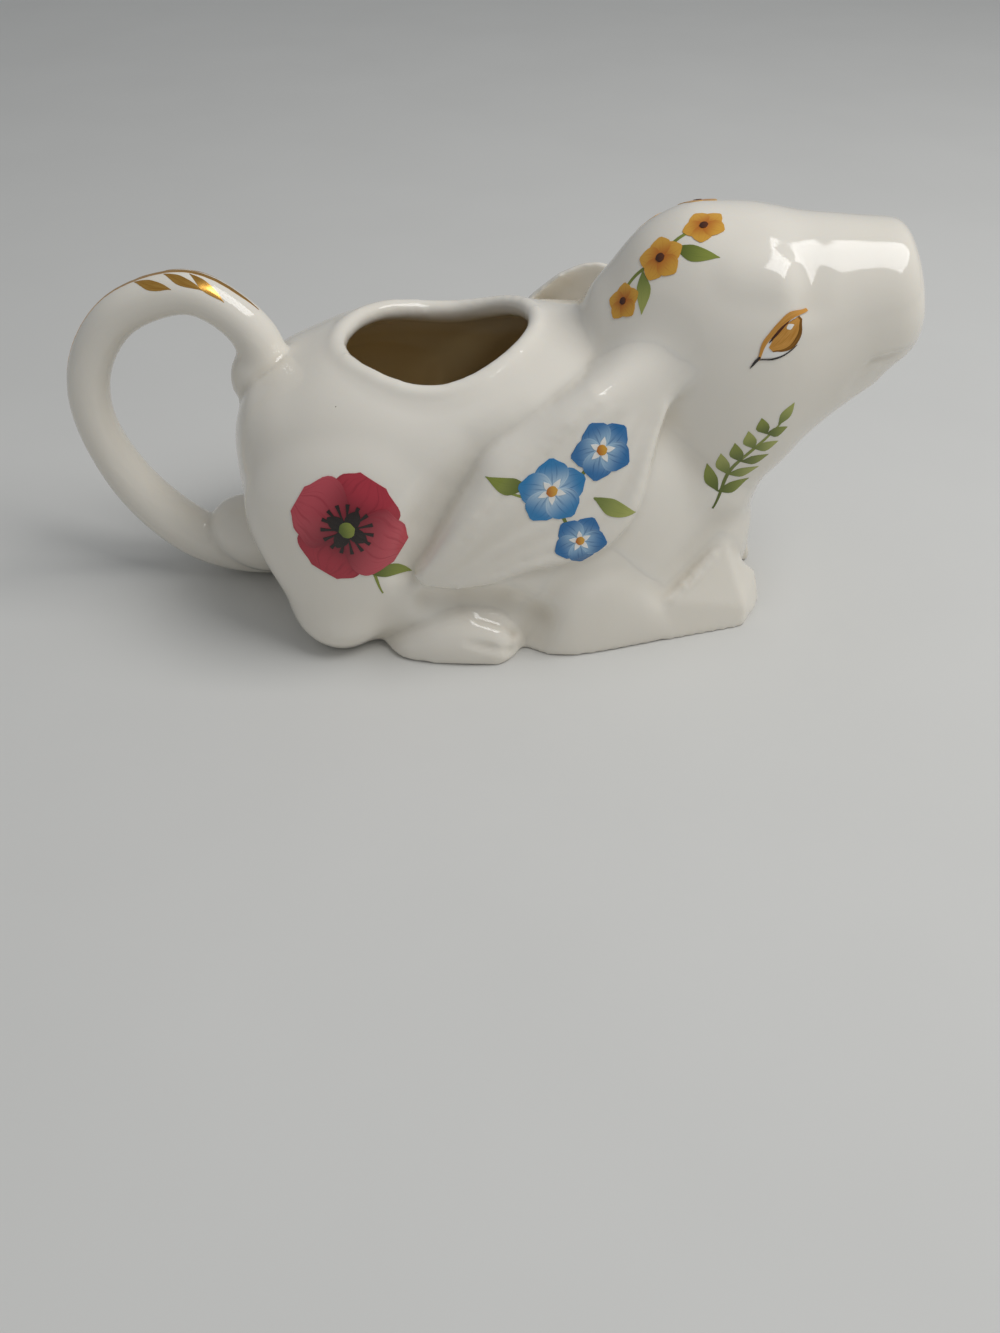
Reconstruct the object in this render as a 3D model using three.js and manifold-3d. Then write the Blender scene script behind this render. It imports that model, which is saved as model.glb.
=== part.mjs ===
// A bunny pitcher in glazed porcelain: a hollow crouching rabbit that is filled through its back, pours
// from the mouth under its nose and is held by a loop handle over its tail.
// Millimetres, +Z up, +X to the nose, +Y to the rabbit's left.
import * as THREE from "three";
import { ConvexGeometry } from "three/addons/geometries/ConvexGeometry.js";
import { ParametricGeometry } from "three/addons/geometries/ParametricGeometry.js";
import { mergeVertices } from "three/addons/utils/BufferGeometryUtils.js";
import Module from "manifold-3d";

const wasm = await Module();
wasm.setup();

// Casting
const wall = 3.2;
const slipGap = 0.3; // room for the slip that joins two pieces

// Body, which lies along X with its middle at x = 0
const bodyLength = 116;
const bodyHalfWidth = 33.5;
const rimHeight = 61; // of the back beside the filling mouth
const floorThickness = 4;
const footRimWidth = 5;
const footRecess = 1.2; // how far the floor stands up inside the foot rim
const fillingMouthLength = 39;
const fillingMouthWidth = 39;
const fillingMouthFromRear = 45; // to its middle
const neckHoleWidth = 20; // way from the body into the head
const neckHoleFromFront = 22;
const neckHoleBelowRim = 9;
const neckHoleRise = 35; // degrees

// Haunches, which taper down to the heels
const haunchFromRear = 26; // to the heel
const haunchHalfLength = 25;
const haunchHalfDepth = 15;
const haunchBelowRim = 4;
const haunchBulge = 2.5; // beyond the side of the body
const haunchLean = 10; // of its top ahead of the heel

// Head, set along an axis that rises to the nose
const headTilt = 17; // degrees
const headLength = 73.5;
const headHalfWidth = 21.5;
const headHalfHeight = 31.6;
const headFromFront = 18.5; // of its middle behind the front of the body
const headBelowRim = 1;
const pourMouthWidth = 14;
const pourMouthHeight = 10.5;
const pourMouthDrop = 32; // degrees below level
const pourMouthAlong = 39.5; // from the middle of the head, on its axis
const pourMouthBelow = 15; // under the axis

// Eyes, placed from the middle of the head and its axis
const eyeLength = 13;
const eyeTallness = 6.4;
const eyeProud = 1.3;
const eyeAlong = 15.5;
const eyeAbove = 4.6;
const eyeSlant = 37; // degrees to the axis

// Ears, which lie back from the middle of the head
const earReach = 56; // from its root back to its tip
const earDrop = 50; // from its top down to its lower edge
const earThickness = 6; // behind its edges
const earSwell = 1.2; // of its outer face beyond its edges
const earTopAbove = 10; // over the middle of the head
const earRootSink = 4; // into the side of the head
const earProud = 2; // of its tip beyond the side of the body
const earCorner = 2.6; // how square its section is, where 2 is an oval

// Feet and legs, which lie on the ground
const hindFootLength = 31;
const hindFootHalfWidth = 8.7;
const hindFootHeight = 11.8;
const hindFootInset = 7; // of its middle from the side of the body
const hindToeAhead = 38.5; // of the heel
const forelegLength = 56;
const forelegHalfWidth = 9;
const forelegHeight = 34;
const elbowInset = 11; // of its middle from the side of the body
const wristOut = 12; // of its middle from the centre line
const wristAhead = 1; // of the front of the body
const pawLength = 27.5;
const pawHeight = 22; // where its ridge meets the chest
const pawOut = 23.6; // of its outer side from the centre line
const toesAhead = 7.5; // of the front of the body
const limbMiddle = 0.28; // height of the middle of a limb, as a share of its height

// Tail
const tailLength = 24;
const tailHalfWidth = 9.5;
const tailHalfHeight = 8.5;
const tailHeight = 11; // of its middle
const tailSink = 2; // of its middle ahead of the rear of the body
const tailRise = 20; // degrees

// Handle
const handleReach = 36; // behind the body
const handleTop = 74;
const handleRadius = 4.6;
const handleRootRadius = 6;
const handleFootHeight = 6.2; // of its middle where it runs in under the tail

// Facets around and along the skins
const bodyFacets = [44, 30];
const bodyInsideFacets = [24, 18];
const headFacets = [36, 30];
const headInsideFacets = [20, 18];
const earFacets = [20, 32];
const hindFootFacets = [18, 18];
const forelegFacets = [18, 27];
const tailFacets = [18, 12];
const handleFacets = [12, 44];
const eyeFacets = [16, 8];
const boreFacets = 28; // around a bore

const porcelain = { color: 0xf1ece2, roughness: 0.12, metalness: 0 };
const gilding = { color: 0xc9922f, roughness: 0.25, metalness: 1 };

const rear = -bodyLength / 2;
const front = bodyLength / 2;
const heelX = rear + haunchFromRear;
const headX = front - headFromFront;
const headZ = rimHeight - headBelowRim;
const sides = { right: -1, left: 1 };
const toRadians = THREE.MathUtils.degToRad;

// A form is a closed skin over sections along a path. Each row is x, y, z, half width and half height,
// and the first and last rows are poles of no size, where the skin closes in a round end.
function makeForm(rows, { corner = 2, follow = false } = {}) {
  const passed = ([x, y, z, halfWidth, halfHeight]) => [x, y, z, -halfWidth, -halfHeight];
  const all = [passed(rows[1]), ...rows, passed(rows.at(-2))];
  const through = (points) => new THREE.CatmullRomCurve3(points, false, "catmullrom", 0.5);
  const path = through(all.map(([x, y, z]) => new THREE.Vector3(x, y, z)));
  const size = through(all.map((row) => new THREE.Vector3(row[3], row[4], 0)));
  const spans = rows.length - 1;
  const at = (v) => (1 + v * spans) / (spans + 2);
  return { path, size, spans, at, corner, follow };
}

const rounded = (value, corner) => Math.sign(value) * Math.abs(value) ** (2 / corner);

// Skin of a form, swollen by grow
function skin(form, facets, { grow = 0 } = {}) {
  const offPole = 0.01; // a path turns back at its poles, so its heading is taken just beside them
  const headingAt = (v) => form.path.getTangent(form.at(THREE.MathUtils.clamp(v, offPole, 1 - offPole)));
  const place = (u, v, target) => {
    const t = form.at(v);
    const size = form.size.getPoint(t);
    const heading = form.follow ? headingAt(v) : new THREE.Vector3(1, 0, 0);
    const up = new THREE.Vector3(-heading.z, 0, heading.x).normalize();
    const fromEnd = Math.min(1, v * form.spans, (1 - v) * form.spans) * (Math.PI / 2);
    const outward = grow * Math.sin(fromEnd);
    const endward = grow * Math.cos(fromEnd) * (v < 0.5 ? -1 : 1);
    const across = rounded(Math.cos(u * 2 * Math.PI), form.corner);
    const upward = rounded(Math.sin(u * 2 * Math.PI), form.corner);
    form.path.getPoint(t, target);
    target.addScaledVector(heading, endward);
    target.addScaledVector(up, (size.y + outward) * upward);
    target.y += (size.x + outward) * across;
  };
  return new ParametricGeometry(place, ...facets);
}

// Half width of a form whose sections stand square to X, at a place on its side
function halfWidthAt(form, x, z) {
  let low = 0;
  let high = 1;
  for (let step = 0; step < 30; step += 1) {
    const middle = (low + high) / 2;
    if (form.path.getPoint(form.at(middle)).x < x) low = middle;
    else high = middle;
  }
  const t = form.at(low);
  const size = form.size.getPoint(t);
  const rise = Math.min(1, Math.abs(z - form.path.getPoint(t).z) / size.y);
  return size.x * (1 - rise ** form.corner) ** (1 / form.corner);
}

// A closed geometry as a solid. A mirrored one comes out inside out, so its triangles are turned round.
function solid(geometry) {
  geometry.deleteAttribute("normal");
  geometry.deleteAttribute("uv");
  const merged = mergeVertices(geometry, 1e-4);
  const corners = merged.index.array;
  const vertProperties = merged.attributes.position.array;
  const build = (order) => {
    const triangles = [];
    for (let i = 0; i < corners.length; i += 3) {
      const [a, b, c] = order.map((k) => corners[i + k]);
      if (a !== b && b !== c && c !== a) triangles.push(a, b, c);
    }
    const triVerts = new Uint32Array(triangles);
    return new wasm.Manifold(new wasm.Mesh({ numProp: 3, vertProperties, triVerts }));
  };
  const made = build([0, 1, 2]);
  return made.volume() > 0 ? made : build([0, 2, 1]);
}

const ellipsoid = (length, depth, tallness, grow, facets) =>
  new THREE.SphereGeometry(1, ...facets).scale(length / 2 + grow, depth / 2 + grow, tallness / 2 + grow);

// An oval bore along X, with its middle at the origin
function bore(width, height, length) {
  const outline = new THREE.Shape().absellipse(0, 0, height / 2, width / 2, 0, 2 * Math.PI);
  const settings = { depth: length, bevelEnabled: false, curveSegments: boreFacets / 2 };
  return new THREE.ExtrudeGeometry(outline, settings).translate(0, 0, -length / 2).rotateY(Math.PI / 2);
}

// A block from the given height down, wider than the whole pitcher
function below(height) {
  const reach = 2 * (bodyLength + headLength + handleReach);
  return solid(new THREE.BoxGeometry(reach, reach, reach).translate(0, 0, height - reach / 2));
}

// Body: shares of its length, of the rim height (bottom and top) and of its half width
const bodyShares = [
  [0, 0.6, 0.6, 0],
  [0.035, 0.3, 0.82, 0.52],
  [0.085, 0.12, 0.9, 0.74],
  [0.145, 0, 0.95, 0.87],
  [0.21, -0.09, 1, 0.94],
  [0.29, -0.13, 1.025, 0.98],
  [0.4, -0.15, 1.02, 1],
  [0.52, -0.15, 1.05, 0.97],
  [0.615, -0.15, 1.12, 0.9],
  [0.706, -0.13, 1.08, 0.84],
  [0.794, -0.11, 0.92, 0.73],
  [0.882, -0.1, 0.74, 0.54],
  [0.952, -0.02, 0.56, 0.4],
  [1, 0.27, 0.27, 0],
];
const bodyForm = makeForm(
  bodyShares.map(([along, bottom, top, width]) => [
    rear + along * bodyLength,
    0,
    ((top + bottom) / 2) * rimHeight,
    width * bodyHalfWidth,
    ((top - bottom) / 2) * rimHeight,
  ]),
  { corner: 2.8 },
);

// Haunch, from the top down: shares of its height, lean, half depth and half length
const haunchShares = [
  [1, 1, 0, 0],
  [0.92, 0.9, 0.4, 0.5],
  [0.8, 0.75, 0.75, 0.86],
  [0.62, 0.5, 0.97, 1.04],
  [0.42, 0.25, 1, 0.9],
  [0.22, 0, 0.96, 0.6],
  [0.07, -0.15, 0.88, 0.42],
  [-0.08, -0.2, 0, 0],
];

function haunch(side, grow, facets) {
  const rows = haunchShares.map(([rise, lean, depth, length]) => [
    heelX + lean * haunchLean,
    side * (bodyHalfWidth + haunchBulge - haunchHalfDepth),
    rise * (rimHeight - haunchBelowRim),
    depth * haunchHalfDepth,
    length * haunchHalfLength,
  ]);
  return solid(skin(makeForm(rows, { follow: true }), facets, { grow }));
}

function bodyMass(grow, facets) {
  const haunchFacets = facets.map((count) => count / 2);
  return solid(skin(bodyForm, facets, { grow }))
    .add(haunch(sides.right, grow, haunchFacets))
    .add(haunch(sides.left, grow, haunchFacets));
}

// Head: shares of its length from the middle, of its half height (centre, half height), of its half width
const headShares = [
  [-0.347, -0.13, 0, 0],
  [-0.267, 0, 0.42, 0.6],
  [-0.16, 0.016, 0.62, 0.81],
  [-0.053, -0.08, 0.89, 0.93],
  [0.067, -0.11, 0.985, 1],
  [0.173, -0.08, 0.9, 1],
  [0.267, -0.03, 0.775, 0.944],
  [0.36, -0.025, 0.66, 0.84],
  [0.447, -0.018, 0.578, 0.75],
  [0.52, -0.009, 0.504, 0.7],
  [0.58, 0.018, 0.428, 0.64],
  [0.626, 0.068, 0.318, 0.48],
  [0.645, 0.09, 0, 0],
];
const headForm = makeForm(
  headShares.map(([along, centre, half, width]) => [
    along * headLength,
    0,
    centre * headHalfHeight,
    width * headHalfWidth,
    half * headHalfHeight,
  ]),
  { corner: 2.1 },
);
const onHead = (geometry) => geometry.rotateY(-toRadians(headTilt)).translate(headX, 0, headZ);
const headMass = (grow, facets) => solid(onHead(skin(headForm, facets, { grow })));

// Cutters that leave the slip gap round the body and the head
const bodyClear = bodyMass(slipGap, bodyFacets);
const headClear = headMass(slipGap, headFacets);
const ground = below(0);

function makeBody() {
  const cavity = bodyMass(-wall, bodyInsideFacets).subtract(below(footRecess + floorThickness));
  const recess = solid(skin(bodyForm, bodyInsideFacets, { grow: -footRimWidth })).intersect(below(footRecess));
  const fillingMouth = bore(fillingMouthWidth, fillingMouthLength, rimHeight)
    .rotateY(Math.PI / 2)
    .translate(rear + fillingMouthFromRear, 0, rimHeight);
  const neckHole = bore(neckHoleWidth, neckHoleWidth, 4 * wall)
    .rotateY(-toRadians(neckHoleRise))
    .translate(front - neckHoleFromFront, 0, rimHeight - neckHoleBelowRim);
  return bodyMass(0, bodyFacets)
    .subtract(ground)
    .subtract(cavity)
    .subtract(recess)
    .subtract(solid(fillingMouth))
    .subtract(solid(neckHole));
}

function makeHead() {
  const pourMouth = bore(pourMouthWidth, pourMouthHeight, 6 * wall)
    .rotateY(toRadians(pourMouthDrop + headTilt))
    .translate(pourMouthAlong, 0, -pourMouthBelow);
  return headMass(0, headFacets)
    .subtract(headMass(-wall, headInsideFacets))
    .subtract(bodyClear)
    .subtract(solid(onHead(pourMouth)));
}

// Ear, from root to tip: its upper edge and its lower edge, each as shares of the reach back, of the drop and
// of the way out from the root to the tip
const earShares = [
  [[0.02, 0.05, 0.06], [0.02, 0.05, 0.06]],
  [[0.095, 0.03, 0], [0.004, 0.124, 0.177]],
  [[0.22, 0.02, 0.177], [0.07, 0.216, 0.232]],
  [[0.345, 0.056, 0.365], [0.105, 0.33, 0.298]],
  [[0.477, 0.148, 0.508], [0.139, 0.476, 0.431]],
  [[0.604, 0.276, 0.674], [0.182, 0.676, 0.575]],
  [[0.721, 0.414, 0.84], [0.277, 0.832, 0.685]],
  [[0.787, 0.522, 0.928], [0.423, 0.896, 0.773]],
  [[0.852, 0.644, 0.983], [0.57, 0.926, 0.845]],
  [[0.912, 0.776, 1], [0.718, 0.984, 0.9]],
  [[0.955, 0.864, 0.989], [0.846, 1, 0.928]],
  [[1, 0.932, 0.961], [0.971, 0.988, 0.934]],
  [[1.02, 0.968, 0.95], [1.02, 0.968, 0.95]],
];

// An ear hangs from the side of the head and lies back along the flank, as a broad leaf between its two edges
function makeEar(side) {
  const place = ([back, down, out]) =>
    new THREE.Vector3(
      headX - back * earReach,
      side * THREE.MathUtils.lerp(headHalfWidth - earRootSink, bodyHalfWidth + earProud, out),
      headZ + earTopAbove - down * earDrop,
    );
  const edge = (which) =>
    new THREE.CatmullRomCurve3(earShares.map((row) => place(row[which])), false, "catmullrom", 0.5);
  const [upper, lower] = [edge(0), edge(1)];
  const leaf = (u, v, target) => {
    const [top, bottom] = [upper.getPoint(v), lower.getPoint(v)];
    const fullness = Math.min(1, top.distanceTo(bottom) / (2 * earThickness));
    const across = rounded(Math.cos(u * 2 * Math.PI), earCorner);
    const outward = rounded(Math.sin(u * 2 * Math.PI), earCorner);
    target.lerpVectors(bottom, top, (1 + across) / 2);
    target.y += side * fullness * outward * (outward > 0 ? earSwell : earThickness);
  };
  return solid(new ParametricGeometry(leaf, ...earFacets)).subtract(bodyClear).subtract(headClear);
}

// A limb on the ground: rows of x, distance out, half width and height
function limb(side, rows, facets, grow) {
  const roundEnd = 0.6; // the ends close at this share of the height beside them
  const placed = rows.map(([x, out, halfWidth, height], index) => {
    const full = height || roundEnd * rows[index === 0 ? 1 : index - 1][3];
    return [x, side * out, limbMiddle * full, halfWidth, (1 - limbMiddle) * height];
  });
  return solid(skin(makeForm(placed, { corner: 2.3 }), facets, { grow }));
}

// Hind foot, from heel to toes: shares of its length, half width and height
const hindFootShares = [
  [0, 0, 0],
  [0.12, 0.7, 0.45],
  [0.3, 0.92, 0.85],
  [0.5, 1, 1],
  [0.7, 1, 0.95],
  [0.88, 0.86, 0.76],
  [1, 0, 0],
];

function hindFoot(side, grow) {
  const rows = hindFootShares.map(([along, width, height]) => [
    heelX + hindToeAhead - (1 - along) * hindFootLength,
    bodyHalfWidth - hindFootInset,
    width * hindFootHalfWidth,
    height * hindFootHeight,
  ]);
  return limb(side, rows, hindFootFacets, grow);
}

const makeHindFoot = (side) => hindFoot(side, 0).subtract(ground).subtract(bodyClear);

// Foreleg, from elbow to wrist: shares of its length, of the way in to the wrist, of its half width and height
const forelegShares = [
  [0, 0.05, 0, 0],
  [0.06, 0.05, 0.7, 0.55],
  [0.2, 0, 1, 0.9],
  [0.35, 0.14, 1, 1],
  [0.5, 0.36, 0.95, 0.84],
  [0.64, 0.56, 0.86, 0.5],
  [0.77, 0.82, 0.76, 0.34],
  [0.88, 0.95, 0.66, 0.24],
  [0.97, 1, 0.4, 0.16],
  [1, 1, 0, 0],
];

// Paw, a wedge with a ridge from its outer side up to the chest. Its corners are shares of its length, of its
// way out and of its height, and its sole lies under the ground.
const pawShares = [
  [0, 1, -0.18],
  [0, 1, 0.445],
  [0.07, 0.085, -0.18],
  [0.436, 0.487, 1],
  [0.836, 0.847, -0.18],
  [0.836, 0.72, 0.364],
  [1, 0.085, -0.18],
  [0.709, 0.17, 0.773],
];

function paw(side) {
  const corners = pawShares.map(
    ([along, out, height]) =>
      new THREE.Vector3(
        front + toesAhead - (1 - along) * pawLength,
        side * out * pawOut,
        height * pawHeight,
      ),
  );
  return solid(new ConvexGeometry(corners));
}

function makeForeleg(side) {
  const rows = forelegShares.map(([along, inward, width, height]) => [
    front + wristAhead - (1 - along) * forelegLength,
    THREE.MathUtils.lerp(bodyHalfWidth - elbowInset, wristOut, inward),
    width * forelegHalfWidth,
    height * forelegHeight,
  ]);
  return limb(side, rows, forelegFacets, 0)
    .add(paw(side))
    .subtract(ground)
    .subtract(bodyClear)
    .subtract(headClear)
    .subtract(hindFoot(side, slipGap));
}

// The tail is a puff that points back and up from the rump
function tail(grow) {
  return solid(
    ellipsoid(tailLength, 2 * tailHalfWidth, 2 * tailHalfHeight, grow, tailFacets)
      .rotateY(toRadians(tailRise))
      .translate(rear + tailSink, 0, tailHeight),
  );
}

const makeTail = () => tail(0).subtract(ground).subtract(bodyClear);

// The handle rises from the back of the rim, loops behind the rump and runs in under the tail
function makeHandle() {
  const outermost = rear - handleReach + handleRadius;
  const rows = [
    [rear + 1.75 * handleRootRadius, rimHeight - 2.5 * handleRootRadius, 0],
    [rear + 1.4 * handleRootRadius, rimHeight - 1.8 * handleRootRadius, handleRootRadius],
    [rear + 1.15 * handleRootRadius, rimHeight - 0.65 * handleRootRadius, handleRootRadius],
    [rear + 0.5 * handleRootRadius, 0.87 * handleTop, handleRadius],
    [rear - 0.18 * handleReach, handleTop - handleRadius, handleRadius],
    [rear - 0.53 * handleReach, 0.89 * handleTop, handleRadius],
    [rear - 0.75 * handleReach, 0.79 * handleTop, handleRadius],
    [outermost, 0.65 * handleTop, handleRadius],
    [outermost + 0.6, 0.486 * handleTop, handleRadius],
    [rear - 0.68 * handleReach, 0.297 * handleTop, 1.15 * handleRadius],
    [rear - 0.39 * handleReach, 0.149 * handleTop, 1.25 * handleRadius],
    [rear - 0.055 * handleReach, handleFootHeight, 1.2 * handleRadius],
    [rear + 0.28 * handleReach, handleFootHeight, handleRadius],
    [rear + 0.39 * handleReach, handleFootHeight, 0],
  ].map(([x, z, radius]) => [x, 0, z, radius, radius]);
  const form = makeForm(rows, { follow: true });
  return solid(skin(form, handleFacets)).subtract(ground).subtract(bodyClear).subtract(tail(slipGap));
}

// An eye is a low almond on the side of the head
function makeEye(side) {
  const almond = ellipsoid(eyeLength, 2 * eyeProud, eyeTallness, 0, eyeFacets)
    .rotateY(-toRadians(eyeSlant))
    .translate(eyeAlong, side * halfWidthAt(headForm, eyeAlong, eyeAbove), eyeAbove);
  return solid(onHead(almond)).subtract(headClear);
}

function mesh(name, shape, finish) {
  const { vertProperties, triVerts } = shape.getMesh();
  const geometry = new THREE.BufferGeometry();
  geometry.setAttribute("position", new THREE.BufferAttribute(vertProperties, 3));
  geometry.setIndex(new THREE.BufferAttribute(triVerts, 1));
  const made = new THREE.Mesh(geometry, new THREE.MeshStandardMaterial(finish));
  made.name = name;
  return made;
}

const pitcher = new THREE.Group();
pitcher.add(mesh("body_shell", makeBody(), porcelain));
pitcher.add(mesh("head_shell", makeHead(), porcelain));
pitcher.add(mesh("handle", makeHandle(), porcelain));
pitcher.add(mesh("tail", makeTail(), porcelain));
for (const [name, side] of Object.entries(sides)) {
  pitcher.add(mesh(`${name}_ear`, makeEar(side), porcelain));
  pitcher.add(mesh(`${name}_foreleg`, makeForeleg(side), porcelain));
  pitcher.add(mesh(`${name}_hind_foot`, makeHindFoot(side), porcelain));
  pitcher.add(mesh(`${name}_eye`, makeEye(side), gilding));
}

// The origin is on the ground under the middle of the whole pitcher
const extent = new THREE.Box3().setFromObject(pitcher);
pitcher.position.x = -(extent.min.x + extent.max.x) / 2;

export default pitcher;
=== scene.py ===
import math

import bmesh
import bpy
import numpy as np
from mathutils import Matrix, Vector
from mathutils.kdtree import KDTree


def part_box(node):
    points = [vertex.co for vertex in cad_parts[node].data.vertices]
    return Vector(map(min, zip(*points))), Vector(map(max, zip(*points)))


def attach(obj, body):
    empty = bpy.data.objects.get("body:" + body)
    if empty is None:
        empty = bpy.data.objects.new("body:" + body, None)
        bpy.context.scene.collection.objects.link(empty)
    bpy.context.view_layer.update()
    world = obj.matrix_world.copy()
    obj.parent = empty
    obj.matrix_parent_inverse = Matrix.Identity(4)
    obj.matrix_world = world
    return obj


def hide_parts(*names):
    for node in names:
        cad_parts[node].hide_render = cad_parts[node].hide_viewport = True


# Bunny pitcher: glazed porcelain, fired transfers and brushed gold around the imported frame
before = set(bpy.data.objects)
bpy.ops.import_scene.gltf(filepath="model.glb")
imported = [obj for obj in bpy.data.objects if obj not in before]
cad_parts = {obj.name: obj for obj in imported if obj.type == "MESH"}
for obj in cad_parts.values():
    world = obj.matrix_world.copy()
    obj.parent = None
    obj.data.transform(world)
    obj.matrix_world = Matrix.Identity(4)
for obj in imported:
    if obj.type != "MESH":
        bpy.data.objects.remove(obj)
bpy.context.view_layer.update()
mm = 0.001
sides = {"right": -1, "left": 1}
print("frame loaded:", sorted(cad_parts))


# Selecting, modifiers and joining
def deselectAll():
    if bpy.context.object and bpy.context.object.mode != "OBJECT":
        bpy.ops.object.mode_set(mode="OBJECT")
    bpy.ops.object.select_all(action="DESELECT")


def pick(piece):
    deselectAll()
    piece.select_set(True)
    bpy.context.view_layer.objects.active = piece


def modify(piece, kind, **settings):
    pick(piece)
    modifier = piece.modifiers.new(kind.lower(), kind)
    for name, value in settings.items():
        setattr(modifier, name, value)
    bpy.ops.object.modifier_apply(modifier=modifier.name)


def smooth(piece, rounds, group=""):
    modify(piece, "SMOOTH", factor=0.5, iterations=rounds, vertex_group=group)


def combine(piece, others, operation):  # UNION, DIFFERENCE or INTERSECT, the others are used up
    for other in others:
        modify(piece, "BOOLEAN", operation=operation, object=other, solver="MANIFOLD")
        bpy.data.objects.remove(other)
    return piece


def copyOf(piece, name):
    pick(piece)
    bpy.ops.object.duplicate()
    copied = bpy.context.object
    copied.name = name
    return copied


def faceOutward():  # ends edit mode with all normals out
    bpy.ops.mesh.select_all(action="SELECT")
    bpy.ops.mesh.normals_make_consistent(inside=False)
    deselectAll()


def place(piece, turn=(0, 0, 0), at=(0, 0, 0)):  # degrees and mm, then back to a plain object at the origin
    pick(piece)
    piece.rotation_euler = [math.radians(angle) for angle in turn]
    piece.location = Vector(at) * mm
    bpy.ops.object.transform_apply(location=True, rotation=True, scale=True)
    return piece


# Lofts: rows of x, y, z, half width and half height in mm, with poles of no size at both ends
leastRing = 0.2  # mm, smaller rings near a pole are left out


def between(p, q, r, s, t):  # a smooth curve from q to r
    bend = 2 * p - 5 * q + 4 * r - s
    twist = 3 * q - p - 3 * r + s
    return 0.5 * (2 * q + (r - p) * t + bend * t ** 2 + twist * t ** 3)


def smoothRings(rows, steps):
    def passed(row):
        return [*row[:3], -row[3], -row[4]]  # a row beyond a pole, so that the end closes round

    padded = [passed(rows[1]), *rows, passed(rows[-2])]
    rings = []
    for span in range(len(rows) - 1):
        axes = list(zip(*padded[span:span + 4]))
        rings += [[between(*axis, step / steps) for axis in axes] for step in range(steps)]
    return rings[1:]


def roundedSquare(corner, around):  # points of a section, across and up, corner 2 is a circle
    def drawn(value):
        return math.copysign(abs(value) ** (2 / corner), value)

    turns = [2 * math.pi * step / around for step in range(around)]
    return [(drawn(math.cos(turn)), drawn(math.sin(turn))) for turn in turns]


def loft(name, rows, section, steps=5, follow=False):
    deselectAll()
    bpy.ops.mesh.primitive_circle_add(
        vertices=len(section), radius=1, fill_type="NGON", enter_editmode=True,
    )
    piece = bpy.context.object
    piece.name = name
    ring = bmesh.from_edit_mesh(piece.data)
    for point, (across, up) in zip(ring.verts, section):  # the circle stands up across the loft
        point.co = (0, across, up)
    bmesh.update_edit_mesh(piece.data)
    rings = [row for row in smoothRings(rows, steps) if min(row[3:]) > leastRing]
    centre, width, height, heading = Vector(), 1, 1, 0
    for number, (x, y, z, halfWidth, halfHeight) in enumerate(rings):
        if number:
            bpy.ops.mesh.extrude_region_move()
        newCentre = Vector((x, y, z)) * mm
        newWidth, newHeight = halfWidth * mm, halfHeight * mm
        bpy.ops.transform.translate(value=newCentre - centre)
        alongScale = newWidth / width if follow else 1  # a turned ring is round, and grows all ways
        bpy.ops.transform.resize(
            value=(alongScale, newWidth / width, newHeight / height), center_override=newCentre
        )
        if follow:
            before, after = rings[max(number - 1, 0)], rings[min(number + 1, len(rings) - 1)]
            newHeading = math.atan2(after[2] - before[2], after[0] - before[0])
            bpy.ops.transform.rotate(value=newHeading - heading, orient_axis="Y", center_override=newCentre)
            heading = newHeading
        centre, width, height = newCentre, newWidth, newHeight
    faceOutward()
    return piece


# Camera at the photograph's view, 1250 px of focal length on 1000 x 1333
view = {
    "at": (13.15, -246.69, 171.66), "down": 39, "yaw": 2,  # mm and degrees
    "focal": 1250, "photoHeight": 1333, "sensor": 36,  # px, px and mm
}
bpy.ops.object.camera_add(
    location=Vector(view["at"]) * mm,
    rotation=(math.radians(90 - view["down"]), 0, math.radians(view["yaw"])),
)
camera = bpy.context.object
camera.data.sensor_fit = "VERTICAL"
camera.data.sensor_height = view["sensor"]
camera.data.lens = view["focal"] * view["sensor"] / view["photoHeight"]
camera.data.clip_start = 0.01
bpy.context.scene.camera = camera
print("camera placed")

# Body: shares of its length, of the rim height (bottom and top) and of its half width
body = {
    "halfWidth": 33.5, "rimHeight": 61, "wall": 3.2, "floor": 5.2,
    "footRim": 5, "footRecess": 1.2, "corner": 2.8,
    "shares": [
        (0, 0.6, 0.6, 0), (0.035, 0.3, 0.82, 0.52), (0.085, 0.12, 0.9, 0.74),
        (0.145, 0, 0.95, 0.87), (0.21, -0.09, 1, 0.94), (0.29, -0.13, 1.025, 0.98),
        (0.4, -0.15, 1.02, 1), (0.52, -0.15, 1.05, 0.97), (0.615, -0.15, 1.06, 0.9),
        (0.706, -0.13, 1.04, 0.84), (0.794, -0.11, 0.92, 0.73), (0.882, -0.1, 0.74, 0.54),
        (0.952, -0.02, 0.56, 0.4), (1, 0.27, 0.27, 0),
    ],
}
bodyLow, bodyHigh = (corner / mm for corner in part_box("body_shell"))
rear, front = bodyLow.x, bodyHigh.x
bodyRows = [
    (rear + along * (front - rear), 0, (top + bottom) / 2 * body["rimHeight"],
     width * body["halfWidth"], (top - bottom) / 2 * body["rimHeight"])
    for along, bottom, top, width in body["shares"]
]


def shrunk(rows, by):  # rows of the inside of a wall, or of a grown form where by is negative
    first, last = rows[0], rows[-1]
    middle = (first[0] + last[0]) / 2
    kept = 1 - 2 * by / (last[0] - first[0]) if by > 0 else 1
    inner = [
        (middle + (x - middle) * kept, y, z, max(width - by, 0), max(height - by, 0))
        for x, y, z, width, height in rows[1:-1]
    ]
    return [(first[0] + by, *first[1:]), *inner, (last[0] - by, *last[1:])]


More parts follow.
